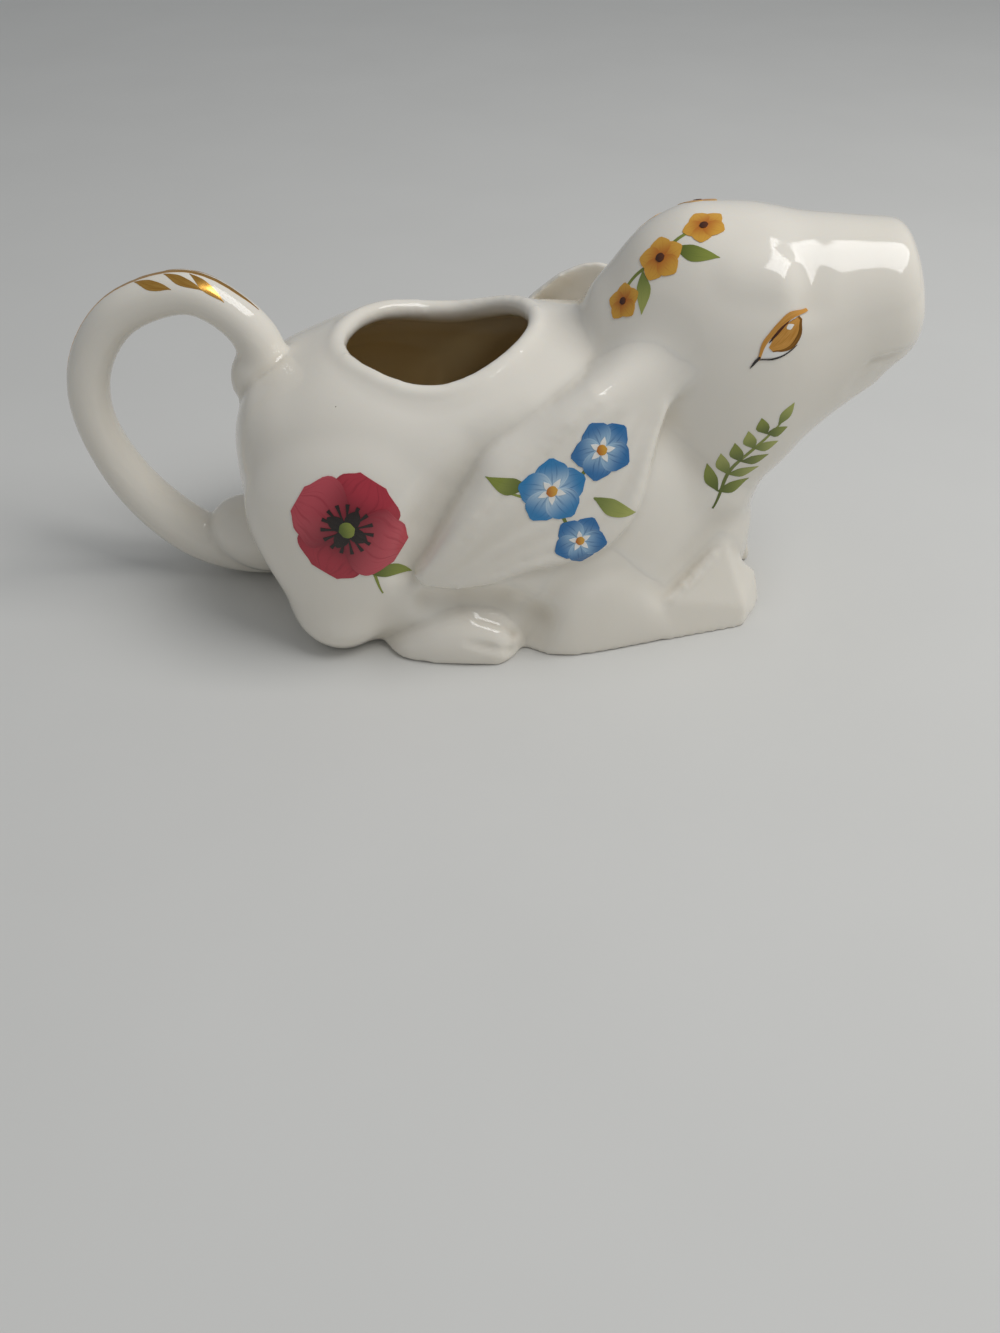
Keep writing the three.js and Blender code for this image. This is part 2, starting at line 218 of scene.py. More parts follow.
# Haunch: shares of its height, lean, half depth and half length, from the top down
haunch = {
    "heel": 26, "halfLength": 25, "halfDepth": 15, "belowRim": 4, "bulge": 2.5, "lean": 10,
    "shares": [
        (1, 1, 0, 0), (0.92, 0.9, 0.4, 0.5), (0.8, 0.75, 0.75, 0.86), (0.62, 0.5, 0.97, 1.04),
        (0.42, 0.25, 1, 0.9), (0.22, 0, 0.96, 0.6), (0.07, -0.15, 0.88, 0.42), (-0.08, -0.2, 0, 0),
    ],
}
heelX = rear + haunch["heel"]


def makeHaunch(side, inset=0):
    height = body["rimHeight"] - haunch["belowRim"]
    out = side * (body["halfWidth"] + haunch["bulge"] - haunch["halfDepth"])
    rows = [  # lofted along X, then stood up, so x here is minus the height
        (-rise * height, out, heelX + lean * haunch["lean"],
         depth * haunch["halfDepth"], length * haunch["halfLength"])
        for rise, lean, depth, length in haunch["shares"]
    ]
    if inset:
        rows = shrunk(rows, inset)
    return place(loft("haunch", rows, roundedSquare(2, 36)), turn=(0, 90, 0))


# Head: shares of its length from the middle, of its half height (centre, half height), of its half width
head = {
    "tilt": 17, "length": 73.5, "halfWidth": 21.5, "halfHeight": 31.6,
    "fromFront": 18.5, "belowRim": 1, "corner": 2.1,
    "shares": [
        (-0.347, -0.13, 0, 0), (-0.267, 0, 0.42, 0.6), (-0.16, 0.016, 0.62, 0.81),
        (-0.053, -0.08, 0.89, 0.93), (0.067, -0.11, 0.985, 1), (0.173, -0.08, 0.9, 1),
        (0.267, -0.03, 0.775, 0.944), (0.36, -0.025, 0.66, 0.84), (0.447, -0.018, 0.578, 0.75),
        (0.52, -0.009, 0.504, 0.7), (0.58, 0.018, 0.428, 0.64), (0.626, 0.068, 0.318, 0.48),
        (0.645, 0.09, 0, 0),
    ],
}
headX = front - head["fromFront"]
headZ = body["rimHeight"] - head["belowRim"]
headRows = [
    (along * head["length"], 0, centre * head["halfHeight"],
     width * head["halfWidth"], half * head["halfHeight"])
    for along, centre, half, width in head["shares"]
]


def onHead(piece):
    return place(piece, turn=(0, -head["tilt"], 0), at=(headX, 0, headZ))


# Throat: fills the bend between jaw and chest
throat = {"at": (49, 0, 33), "half": (13.5, 18.5, 17)}


def makeBlob(at, half):  # a ball of given half sizes
    deselectAll()
    bpy.ops.mesh.primitive_uv_sphere_add(segments=40, ring_count=24, radius=1)
    blob = bpy.context.object
    blob.scale = Vector(half) * mm
    return place(blob, at=at)


# Feet and legs on the ground: shares of length, half width and height, heel or elbow first
hindFoot = {
    "length": 31, "halfWidth": 8.7, "height": 11.8, "inset": 7, "toeAhead": 38.5,
    "shares": [
        (0, 0, 0), (0.12, 0.7, 0.45), (0.3, 0.92, 0.85), (0.5, 1, 1),
        (0.7, 1, 0.95), (0.88, 0.86, 0.76), (1, 0, 0),
    ],
}
foreleg = {  # the second share is of the way in from the elbow to the paw
    "length": 56, "halfWidth": 9, "height": 34, "elbowInset": 11, "pawOut": 12, "pawAhead": 1,
    "shares": [
        (0, 0.05, 0, 0), (0.06, 0.05, 0.7, 0.55), (0.2, 0, 1, 0.9), (0.35, 0.14, 1, 1),
        (0.5, 0.36, 0.95, 0.7), (0.64, 0.56, 0.86, 0.32), (0.77, 0.82, 0.76, 0.2),
        (0.88, 0.95, 0.66, 0.14), (0.97, 1, 0.4, 0.1), (1, 1, 0, 0),
    ],
}
limb = {"corner": 2.3, "middle": 0.28, "roundEnd": 0.6}
paw = {  # corners of a mitten that slopes up to the wrist: x from the front of the chest, out, height
    "middle": (-6, 14, 7), "growth": 0.45, "apart": 1,
    "corners": [
        (-20.2, 25, -4), (-20.2, 24, 10.4), (-18, 2, -4), (-7.9, 15.6, 20.1),
        (-1.8, 18.8, -4), (-2, 18.2, 5.4), (4.2, 8.5, -4), (1.6, 7.5, 8.2),
    ],
}


def makeLimb(name, side, rows, grow):  # rows of x, distance out, half width and height
    placed = []
    for number, (x, out, halfWidth, height) in enumerate(rows):
        beside = rows[1] if number == 0 else rows[number - 1]
        full = height or limb["roundEnd"] * beside[3]
        placed.append((x, side * out, limb["middle"] * full, halfWidth, (1 - limb["middle"]) * height))
    return loft(name, shrunk(placed, -grow), roundedSquare(limb["corner"], 36))


def makeHindFoot(side, grow=0):
    out = body["halfWidth"] - hindFoot["inset"]
    heel = heelX + hindFoot["toeAhead"] - hindFoot["length"]
    return makeLimb("hindFoot", side, [
        (heel + along * hindFoot["length"], out, width * hindFoot["halfWidth"], height * hindFoot["height"])
        for along, width, height in hindFoot["shares"]
    ], grow)


def makeForeleg(side, grow=0):
    elbowOut = body["halfWidth"] - foreleg["elbowInset"]
    elbow = front + foreleg["pawAhead"] - foreleg["length"]
    return makeLimb("foreleg", side, [
        (elbow + along * foreleg["length"], elbowOut + inward * (foreleg["pawOut"] - elbowOut),
         width * foreleg["halfWidth"], height * foreleg["height"])
        for along, inward, width, height in foreleg["shares"]
    ], grow)


def makePaw(side, grow=0):
    deselectAll()
    bpy.ops.mesh.primitive_cube_add(size=2)
    block = bpy.context.object
    for point in block.data.vertices:
        number = 4 * (point.co.x > 0) + 2 * (point.co.y > 0) + (point.co.z > 0)
        corner = Vector(paw["corners"][number])
        ahead, out, height = corner.lerp(Vector(paw["middle"]), -paw["growth"] * grow)
        point.co = Vector((front + ahead, side * max(out, paw["apart"]), height)) * mm
    pick(block)
    bpy.ops.object.mode_set(mode="EDIT")
    bpy.ops.mesh.select_all(action="SELECT")
    bpy.ops.mesh.delete(type="EDGE_FACE")
    bpy.ops.mesh.select_all(action="SELECT")
    bpy.ops.mesh.convex_hull(join_triangles=False)  # folds from the wrist to the outer toe
    faceOutward()
    return block


# Ear: a sheet laid from the head's side along the flank, edges as x, distance out and z in mm, root first
ear = {
    "tops": {  # the left ear stands off the shoulder, the right one lies on it
        -1: [(31.5, 20.6, 66.8), (24.5, 25, 62.4), (17.1, 28.2, 58.2), (10, 30.2, 54)],
        1: [(31.5, 20, 69), (24.5, 25.2, 69.2), (17.1, 27.8, 65.2), (10, 30.2, 58.2)],
    },
    "root": (38.5, 16.8, 67.5),
    "upper": [
        (3.4, 32.6, 49.6), (-0.3, 34.2, 43.9), (-3.9, 35.2, 37.8), (-7.3, 35.5, 31.2),
        (-9.7, 35.3, 26.8), (-12.2, 34.8, 23.4),
    ],
    "lower": [
        (43.6, 20.6, 63.8), (39.9, 21.6, 59.2), (37.9, 22.8, 53.5), (36, 25.2, 46.2),
        (33.6, 27.8, 36.2), (28.3, 29.8, 28.4), (20.1, 31.4, 25.2), (11.9, 32.7, 23.7),
        (3.6, 33.7, 20.8), (-3.6, 34.2, 19.6), (-10.6, 34.3, 20.6),
    ],
    "fade": [0.2, 0.5, 0.85, 1, 1, 1, 1, 0.9, 0.7, 0.5, 0.25],
    # relief in mm across the sheet: rolled upper edge, fold line, hollow, thin lower edge
    "relief": [
        -2.8, -0.6, 0.5, 0.95, 0.35, 0.9, 0.6, 0.1, -0.1, -0.3,
        0.1, 0.15, -0.25, -0.05, 0.1, -0.2, 0.2, 0.5, -0.3,
    ],
    "thickness": {-1: [7, 7.5, 8, 9, 9, 9, 9, 8, 7], 1: [3, 3.2, 4.5, 7, 9, 9, 9, 8, 7]},
    "along": 72,  # spans of the sheet
}


def onCurve(values, share):  # a smooth curve through evenly spaced values
    spot = min(share * (len(values) - 1), len(values) - 1.0001)
    span = int(spot)
    a, b, c, d = (values[min(max(span + shift, 0), len(values) - 1)] for shift in (-1, 0, 1, 2))
    return between(a, b, c, d, spot - span)


def makeEar(side, grow=0):
    deselectAll()
    bpy.ops.mesh.primitive_grid_add(
        x_subdivisions=ear["along"], y_subdivisions=2 * len(ear["relief"]), size=2, enter_editmode=True,
    )
    sheet = bpy.context.object
    drawn = bmesh.from_edit_mesh(sheet.data)
    upper = [ear["root"], *ear["tops"][side], *ear["upper"]]
    depths = {}
    for point in drawn.verts:
        along, across = (point.co.x + 1) / 2, (point.co.y + 1) / 2
        high = Vector(onCurve(axis, along) for axis in zip(*upper))
        low = Vector(onCurve(axis, along) for axis in zip(*ear["lower"]))
        rim = (high - low).normalized() * grow
        spot = (high + rim).lerp(low - rim, across)
        spot.y += onCurve(ear["relief"], across) * onCurve(ear["fade"], along) + grow
        point.co = (spot.x * mm, side * spot.y * mm, spot.z * mm)
        depths[point.co.to_tuple(7)] = (onCurve(ear["thickness"][side], across) + 2 * grow) * mm
    bmesh.update_edit_mesh(sheet.data)
    bpy.ops.mesh.select_all(action="SELECT")
    bpy.ops.mesh.extrude_region_move()
    drawn = bmesh.from_edit_mesh(sheet.data)
    for point in drawn.verts:
        if point.select:
            point.co.y -= side * depths[point.co.to_tuple(7)]
    bmesh.update_edit_mesh(sheet.data)
    faceOutward()
    return sheet


# Dents and swellings: strokes of x, distance out, z, reach and height in mm
strokes = {
    "belly above the foot": [
        (-9, 33, 15, 6, -2), (-2, 33, 14, 8, -3.4), (6, 32, 13, 8, -3.4), (12, 30, 10, 6, -2),
    ],
    "behind the elbow": [
        (12.5, 30, 5, 6, -1.6), (16, 31, 14, 6, -1), (22, 30.5, 20, 5, -0.9), (29, 29, 21.5, 4, -0.3),
    ],
    "haunch and ear": [
        (9, 27, 56, 5, -0.4), (1, 29, 49.5, 7, -1.8), (-4.5, 32, 42, 8, -2.8), (-9.5, 33.5, 34, 8, -3),
        (-13, 34, 25, 7, -2.2), (-14.5, 34, 20, 4, -0.6),
    ],
    "brow": [(51, 15, 81, 7, 0.7), (58, 15, 80, 7, 1)],
    "between brow and muzzle": [(63, 10, 85, 6, -0.2), (63.5, 14.5, 81, 6, -0.7), (64, 17, 76, 5, -0.6)],
    "inside of the elbow": [(41, 24, 14, 6, -0.5), (46, 20, 19, 7, -1), (52, 15, 25, 7, -0.8)],
}
wallStrokes = ("belly above the foot", "behind the elbow", "haunch and ear")  # deep enough to dent the wall
lines = {  # cut into the fused skin, or raised on it
    "upper toe": [(1, 31, 9.5, 1.6, -0.3), (4.5, 31, 8.5, 1.8, -0.7), (9.5, 30.5, 5.5, 1.6, -0.6)],
    "lower toe": [(-1, 34, 6, 1.6, -0.3), (3.5, 34, 5, 1.8, -0.7), (9, 32.5, 2.5, 1.6, -0.6)],
    "lip": [
        (76.5, 14.8, 61, 1.8, -0.2), (79, 14.3, 63, 2, -0.7), (82.5, 12.6, 63.6, 2, -0.7),
        (86.5, 9.5, 64, 1.8, -0.3),
    ],
    "under the lip": [(77, 13, 58, 5, -0.4), (81, 11, 59.5, 5, -0.7), (85, 7.5, 61, 5, -0.5)],
    "paw ridge": [(43.5, 23.4, 11.2, 1.6, 0.3), (48, 20, 15, 1.8, 0.7), (52, 17.3, 18.3, 1.6, 0.5)],
}


def readPoints(piece, what):  # places or normals of all vertices
    values = np.empty(len(piece.data.vertices) * 3)
    piece.data.vertices.foreach_get(what, values)
    return values.reshape(-1, 3)


def writePoints(piece, places):
    piece.data.vertices.foreach_set("co", places.ravel())
    piece.data.update()


def keepAdded(piece, before, normals):  # keeps the clay that smoothing added, and puts back what it took
    added = ((readPoints(piece, "co") - before) * normals).sum(axis=1).clip(0)
    writePoints(piece, before + normals * added[:, None])


def fillCreases(piece, rounds):
    before, normals = readPoints(piece, "co"), readPoints(piece, "normal")
    smooth(piece, rounds)
    keepAdded(piece, before, normals)


def soften(piece, at, reach, rounds, side=0, fillOnly=False):  # extra smoothing there, side 0 is both
    before, normals = readPoints(piece, "co"), readPoints(piece, "normal")
    places = before / mm
    places[:, 1] = places[:, 1] * side if side else np.abs(places[:, 1])
    far = np.linalg.norm(places - at, axis=1) / reach
    group = piece.vertex_groups.new(name="soft")
    for number in np.flatnonzero(far < 1):
        group.add([int(number)], 1 - far[number] ** 2, "REPLACE")
    smooth(piece, rounds, group.name)
    piece.vertex_groups.clear()
    if fillOnly:
        keepAdded(piece, before, normals)


def stroked(piece, stroke):  # moves the skin along its own normals beside the stroke, on both sides
    places, normals = readPoints(piece, "co"), readPoints(piece, "normal")
    height = np.zeros(len(places))
    for side in sides.values():
        spots = []
        for x, out, z, reach, raised in stroke:
            spot = piece.closest_point_on_mesh(Vector((x, side * out, z)) * mm)[1]
            spots.append((*spot, reach * mm, raised * mm))
        for here, there in zip(np.array(spots), np.array(spots[1:])):
            step = there[:3] - here[:3]
            share = ((places - here[:3]) @ step / (step @ step)).clip(0, 1)[:, None]
            near = here + share * (there - here)  # nearest point of the stroke, its reach and height
            far = np.linalg.norm(places - near[:, :3], axis=1) / near[:, 3]
            raised = near[:, 4] * (1 - far ** 2).clip(0) ** 2
            height = np.where(abs(raised) > abs(height), raised, height)
    writePoints(piece, places + normals * height[:, None])


# Core: body, head, haunches and forelegs fused and smoothed, voxels in mm
fusing = {"coarse": 1, "fine": 0.8, "fillFirst": 90, "smoothFirst": 16, "fillLast": 6, "smoothLast": 6}
coreSkin = loft("porcelain", bodyRows, roundedSquare(body["corner"], 64))
headSolid = onHead(loft("head", headRows, roundedSquare(head["corner"], 56)))
combine(coreSkin, [headSolid, makeBlob(throat["at"], throat["half"])], "UNION")
combine(coreSkin, [make(side) for make in (makeHaunch, makeForeleg) for side in sides.values()], "UNION")
modify(coreSkin, "REMESH", mode="VOXEL", voxel_size=fusing["coarse"] * mm)
fillCreases(coreSkin, fusing["fillFirst"])
smooth(coreSkin, fusing["smoothFirst"])
for stroke in strokes.values():
    stroked(coreSkin, stroke)
print("body, haunches, forelegs and head:", len(coreSkin.data.polygons), "faces")


# Tail: a puff that points back and up from the rump
tail = {"length": 24, "halfWidth": 9.5, "halfHeight": 8.5, "height": 11, "sink": 2, "rise": 20}


def makeTail(grow=0):
    rows = [
        (math.cos(turn) * tail["length"] / 2, 0, 0,
         math.sin(turn) * tail["halfWidth"], math.sin(turn) * tail["halfHeight"])
        for turn in (math.pi * step / 8 for step in range(9))
    ]
    puff = loft("tail", shrunk(rows[::-1], -grow), roundedSquare(2, 32))
    return place(puff, turn=(0, tail["rise"], 0), at=(rear + tail["sink"], 0, tail["height"]))


# Handle: a loop behind the rump, x, z and radius from the back of the rim to under the tail
handle = {"reach": 36, "top": 74, "radius": 4.6, "root": 6, "footHeight": 6.2}


def handleRows():
    reach, top, radius, root = handle["reach"], handle["top"], handle["radius"], handle["root"]
    outermost = rear - reach + radius
    rim = body["rimHeight"]
    foot = handle["footHeight"]
    return [
        (rear + 1.5 * root, rim - 2.95 * root, 0), (rear + 1.05 * root, rim - 2 * root, root),
        (rear + 1.25 * root, rim - 0.65 * root, 0.87 * root), (rear + 0.5 * root, 0.87 * top, radius),
        (rear - 0.18 * reach, top - radius, radius), (rear - 0.53 * reach, 0.89 * top, radius),
        (rear - 0.75 * reach, 0.79 * top, radius), (outermost, 0.65 * top, radius),
        (outermost + 0.6, 0.486 * top, radius), (rear - 0.68 * reach, 0.297 * top, 1.15 * radius),
        (rear - 0.39 * reach, 0.149 * top, 1.25 * radius), (rear - 0.055 * reach, foot, 1.2 * radius),
        (rear + 0.28 * reach, foot, radius), (rear + 0.39 * reach, foot, 0),
    ]


def makeHandle(grow=0):
    rows = [(x, 0, z, radius, radius) for x, z, radius in handleRows()]
    return loft("handle", shrunk(rows, -grow), roundedSquare(2, 28), follow=True)


# Openings: the pot's inside, the filling mouth, the way into the head and the pouring mouth
openings = {
    "fillingMouth": 39, "fillingFromRear": 45,
    "lipOut": 1.5, "lipRadius": 2.2, "lipSink": 1.8, "lipLift": 0.9,
    "lookFrom": 200,  # height from where the lip finds the back
    "neck": 20, "neckFromFront": 22, "neckBelowRim": 9, "neckRise": 35, "through": 6 * body["wall"],
    "pourWidth": 14, "pourHeight": 10.5, "pourDrop": 32, "pourAlong": 39.5, "pourBelow": 15,
}
mouthX, mouthRadius = rear + openings["fillingFromRear"], openings["fillingMouth"] / 2


def makeBore(width, height, length, turn, at):
    deselectAll()
    bpy.ops.mesh.primitive_cylinder_add(vertices=64, radius=0.5, depth=length * mm)
    bore = bpy.context.object
    bore.scale = (height * mm, width * mm, 1)
    return place(bore, turn=(0, turn, 0), at=at)


def makeBlock(low, high):
    deselectAll()
    bpy.ops.mesh.primitive_cube_add(size=1)
    block = bpy.context.object
    block.scale = (Vector(high) - Vector(low)) * mm
    return place(block, at=(Vector(low) + Vector(high)) / 2)


def makeGround(top):  # all that lies under a height
    return makeBlock((-200, -100, -100), (200, 100, top))


def makeHollow(name, inset, *others):  # body and haunches, smaller by the inset, after what else belongs to it
    hollow = loft(name, shrunk(bodyRows, inset), roundedSquare(body["corner"], 48))
    return combine(hollow, [*others, *(makeHaunch(side, inset) for side in sides.values())], "UNION")


def makeInside():
    wall = body["wall"]
    inside = makeHollow("inside", wall)
    for name in wallStrokes:
        stroked(inside, strokes[name])
    combine(inside, [makeGround(body["floor"])], "DIFFERENCE")
    tilt = math.radians(head["tilt"])
    along, below = openings["pourAlong"], openings["pourBelow"]
    pourX = headX + along * math.cos(tilt) + below * math.sin(tilt)
    pourZ = headZ + along * math.sin(tilt) - below * math.cos(tilt)
    combine(inside, [
        onHead(loft("headInside", shrunk(headRows, wall), roundedSquare(head["corner"], 40))),
        makeBore(openings["fillingMouth"], openings["fillingMouth"], body["rimHeight"], 0,
                 (mouthX, 0, body["rimHeight"])),
        makeBore(openings["neck"], openings["neck"], openings["through"], 90 - openings["neckRise"],
                 (front - openings["neckFromFront"], 0, body["rimHeight"] - openings["neckBelowRim"])),
        makeBore(openings["pourWidth"], openings["pourHeight"], openings["through"],
                 90 + openings["pourDrop"], (pourX, 0, pourZ)),
    ], "UNION")
    return inside


def makeFootRecess():
    recess = makeHollow("footRecess", body["footRim"])
    return combine(recess, [makeGround(body["footRecess"])], "INTERSECT")


def makeLip():  # a torus that follows the back round the filling mouth
    radius = mouthRadius + openings["lipOut"]
    deselectAll()
    bpy.ops.mesh.primitive_torus_add(
        major_radius=radius * mm, minor_radius=openings["lipRadius"] * mm,
        major_segments=96, minor_segments=20,
    )
    lip = place(bpy.context.object, at=(mouthX, 0, 0))
    middle = Vector((mouthX, 0)) * mm
    for point in lip.data.vertices:
        spoke = (point.co.xy - middle).normalized()
        onCircle = middle + spoke * radius * mm
        spot = coreSkin.ray_cast((*onCircle, openings["lookFrom"] * mm), (0, 0, -1))[1]
        lift = openings["lipLift"] * (1 - max(-spoke.x, 0) ** 2)  # flatter than the back, up at the front
        point.co.z += spot.z + (lift - openings["lipSink"]) * mm
    return lip


lip = makeLip()
insideSolid = makeInside()
potInside = copyOf(insideSolid, "potInside")  # kept to find the wall that gets the painted inside shade later
limbs = [make(side) for make in (makeHindFoot, makePaw, makeEar) for side in sides.values()]
combine(coreSkin, [*limbs, makeTail(), makeHandle()], "UNION")
combine(coreSkin, [insideSolid, makeFootRecess(), makeGround(0)], "DIFFERENCE")
combine(coreSkin, [lip], "UNION")
print("openings cut:", len(coreSkin.data.polygons), "faces")
modify(coreSkin, "REMESH", mode="VOXEL", voxel_size=fusing["fine"] * mm)
fillCreases(coreSkin, fusing["fillLast"])
smooth(coreSkin, fusing["smoothLast"])

# Softer places on the fused skin: x, distance out and z in mm, reach in mm and rounds of smoothing
softPlaces = {
    "slot behind the left ear": {
        "at": [(27, 20, 67), (20, 23.5, 63), (13, 26.5, 57.5), (6, 29, 51)],
        "reach": 7, "rounds": 40, "side": 1, "fillOnly": True,
    },
    "edge of the left ear": {"at": [(24, 25, 67.5), (17, 27.5, 63)], "reach": 6, "rounds": 20, "side": 1},
    "edge of the right ear": {"at": [(20.5, 25, 60.5), (13, 28, 56)], "reach": 6, "rounds": 10, "side": -1},
    "roots of the ears": {"at": [(33, 20.5, 66.5)], "reach": 12, "rounds": 200},
    "inner face of the left ear": {"at": [(21.3, 22.8, 66.2)], "reach": 5, "rounds": 60, "side": 1},
    "toes of the paws": {"at": [(64, 11, 3)], "reach": 8, "rounds": 25},
    "edge of the pouring mouth": {"at": [(84, 4, 60)], "reach": 9, "rounds": 20},
}
rimSoft = {  # every so many degrees round the filling mouth: away, reach, rounds, and whether it only fills
    "every": 18, "outside": (6.5, 7.5, 80, True), "edge": (0, 6, 8, False),
}
for soft in softPlaces.values():
    settings = {name: value for name, value in soft.items() if name != "at"}
    for at in soft["at"]:
        soften(coreSkin, at, **settings)
for turn in range(0, 181, rimSoft["every"]):  # half the ring, because both sides are softened
    spoke = Vector((math.cos(math.radians(turn)), math.sin(math.radians(turn))))
    for away, reach, rounds, fillOnly in (rimSoft["outside"], rimSoft["edge"]):
        x, out = spoke * (mouthRadius + away)
        soften(coreSkin, (mouthX + x, out, body["rimHeight"]), reach, rounds, fillOnly=fillOnly)
for line in lines.values():
    stroked(coreSkin, line)
print("fused and smoothed:", len(coreSkin.data.polygons), "faces")


# Glaze: it pools in the creases, painted darker there as crease shade, and the inside wall is painted brown as
# shade, deeper down
glaze = {  # mm, and rounds of smoothing
    "creaseDepth": 0.65, "creaseRounds": 40, "wallReach": 1,
    "insideShadeTop": 58, "insideShadeFull": 50, "headFrom": 62, "headTo": 80,
}


def creaseShares(piece):  # how much clay smoothing would add, 1 in a deep crease
    filled = copyOf(piece, "filled")
    smooth(filled, glaze["creaseRounds"])
    added = ((readPoints(filled, "co") - readPoints(piece, "co")) * readPoints(piece, "normal")).sum(axis=1)
    bpy.data.objects.remove(filled)
    return (added / mm / glaze["creaseDepth"]).clip(0, 1)


def insideShadeShares(piece):  # painted brown shade inside: 1 on the wall that faces the pot's inside, fading out upwards and towards the head
    places = readPoints(piece, "co")
    onWall = np.zeros(len(places))
    for number, (spot, facing) in enumerate(zip(places, readPoints(piece, "normal"))):
        found = potInside.closest_point_on_mesh(Vector(spot), distance=glaze["wallReach"] * mm)
        onWall[number] = found[0] and found[2].dot(Vector(facing)) < 0  # near the inside, and facing it
    below = ((glaze["insideShadeTop"] - places[:, 2] / mm) / (glaze["insideShadeTop"] - glaze["insideShadeFull"])).clip(0, 1)
    behind = ((glaze["headTo"] - places[:, 0] / mm) / (glaze["headTo"] - glaze["headFrom"])).clip(0, 1)
    return onWall * below * behind


# shares on the whole skin: glaze pooling with painted crease shade, and painted shade inside the pot
skinPoolingAndShade = np.column_stack([creaseShares(coreSkin), insideShadeShares(coreSkin)])
skinNormals = readPoints(coreSkin, "normal")
skinPoints = KDTree(len(skinPoolingAndShade))
for number, spot in enumerate(readPoints(coreSkin, "co")):
    skinPoints.insert(spot, number)
skinPoints.balance()
skin = copyOf(coreSkin, "skin")  # whole skin that the colours are laid on
bpy.data.objects.remove(potInside)

# Pieces: the skin is parted along the creases, and a liner keeps the parts out of the pot's inside
parting = {
    "grow": 0.9, "earGrow": {-1: 0.9, 1: 1.7}, "liner": 2, "neck": (22, 0, 66), "neckTurn": -48,
    "crumb": 200,  # faces
}


def makeLiner():
    inset = parting["liner"]
    headLiner = onHead(loft("headLiner", shrunk(headRows, inset), roundedSquare(head["corner"], 40)))
    made = makeHollow("liner", inset, headLiner)
    for name in wallStrokes:
        stroked(made, strokes[name])
    return made


def partOff(name, region):
    combine(region, [copyOf(liner, "linerCopy")], "DIFFERENCE")
    piece = copyOf(coreSkin, name)
    combine(piece, [copyOf(region, "regionCopy")], "INTERSECT")
    combine(coreSkin, [region], "DIFFERENCE")
    return piece


def dropCrumbs(piece):  # tiny islands that a grazing cut leaves
    drawn = bmesh.new()
    drawn.from_mesh(piece.data)
    left = set(drawn.faces)
    crumbs = []
    while left:
        island = [left.pop()]
        for face in island:
            beside = {other for edge in face.edges for other in edge.link_faces if other in left}
            left -= beside
            island += beside
        if len(island) < parting["crumb"]:
            crumbs += island
    bmesh.ops.delete(drawn, geom=crumbs, context="FACES")
    drawn.to_mesh(piece.data)
    drawn.free()


liner = makeLiner()
grow = parting["grow"]
pieces = {"handle": partOff("handleLoop", makeHandle(grow)), "tail": partOff("tailPuff", makeTail(grow))}
for name, side in sides.items():
    leg = combine(makeForeleg(side, grow), [makePaw(side, grow)], "UNION")
    pieces[name + "_hind_foot"] = partOff(name + "HindFoot", makeHindFoot(side, grow))
    pieces[name + "_foreleg"] = partOff(name + "Foreleg", leg)
    pieces[name + "_ear"] = partOff(name + "Ear", makeEar(side, parting["earGrow"][side]))
bpy.data.objects.remove(liner)
beyondNeck = makeBlock((0, -100, -150), (200, 100, 150))
place(beyondNeck, turn=(0, parting["neckTurn"], 0), at=parting["neck"])
pieces["head_shell"] = combine(copyOf(coreSkin, "head"), [copyOf(beyondNeck, "beyondCopy")], "INTERSECT")
pieces["body_shell"] = combine(coreSkin, [beyondNeck], "DIFFERENCE")
coreSkin.name = "body"
for piece in pieces.values():
    dropCrumbs(piece)
print("parted:", {piece.name: len(piece.data.polygons) for piece in pieces.values()})


# Materials
def linear(hexColour):  # sRGB hex to the linear values that a shader takes
    channels = [int(hexColour[i:i + 2], 16) / 255 for i in (1, 3, 5)]
    return [c / 12.92 if c <= 0.04045 else ((c + 0.055) / 1.055) ** 2.4 for c in channels] + [1]


def addNode(tree, kind, settings=None, inputs=None, links=None):
    node = tree.nodes.new("ShaderNode" + kind)
    for name, value in (settings or {}).items():
        setattr(node, name, value)
    for name, value in (inputs or {}).items():
        node.inputs[name].default_value = value
    for name, socket in (links or {}).items():
        tree.links.new(socket, node.inputs[name])
    return node


def mixed(tree, share, first, second):  # two colours by a share, each a hex colour or a socket
    node = addNode(tree, "Mix", {"data_type": "RGBA"}, links={"Factor": share})
    for name, colour in (("A", first), ("B", second)):
        if isinstance(colour, str):
            node.inputs[name].default_value = linear(colour)
        else:
            tree.links.new(colour, node.inputs[name])
    return node.outputs["Result"]


def worked(tree, operation, first, second):  # a socket with a number or with another socket
    node = addNode(tree, "Math", {"operation": operation}, links={0: first})
    if isinstance(second, float):
        node.inputs[1].default_value = second
    else:
        tree.links.new(second, node.inputs[1])
    return node.outputs[0]


def noise(tree, where, scale, detail):
    node = addNode(tree, "TexNoise", inputs={"Scale": scale, "Detail": detail}, links={"Vector": where})
    return node.outputs["Fac"]


def ranged(tree, value, limits, settings=None):
    return addNode(tree, "MapRange", settings, limits, {"Value": value}).outputs["Result"]


def startMaterial(name):
    material = bpy.data.materials.new(name)
    material.use_nodes = True
    return material, material.node_tree, material.node_tree.nodes["Principled BSDF"]


def perMetre(size):  # texture scale for a pattern of that size in mm
    return 1 / (size * mm)


# Slip-cast porcelain under a clear glaze: warm wet gloss, glaze that pools in the creases with painted crease
# shade, rare kiln specks, painted brown shade inside
porcelainLook = {
    # the crease colour is glaze pooling and painted crease shade together, and the two browns are painted
    # shade inside the pot
    "body": "#efeae0", "thin": "#e6dfd1", "poolingAndCreaseShade": "#c4b79f", "poolingAndCreaseShadeShare": 0.6,
    "insideShade": "#dcc89e", "deepInsideShade": "#c9b282",
    "speck": "#5d4b38", "speckSpacing": 13, "speckSize": 0.22, "speckFrom": 0.72,
    "cloud": 38, "ripple": 7, "rippleDepth": 0.12, "rippleShare": 0.25,  # mm and a share
    "rough": {"To Min": 0.05, "To Max": 0.11}, "bending": 1.52, "glow": 0.12, "glowReach": (2.2, 1.8, 1.3),
}


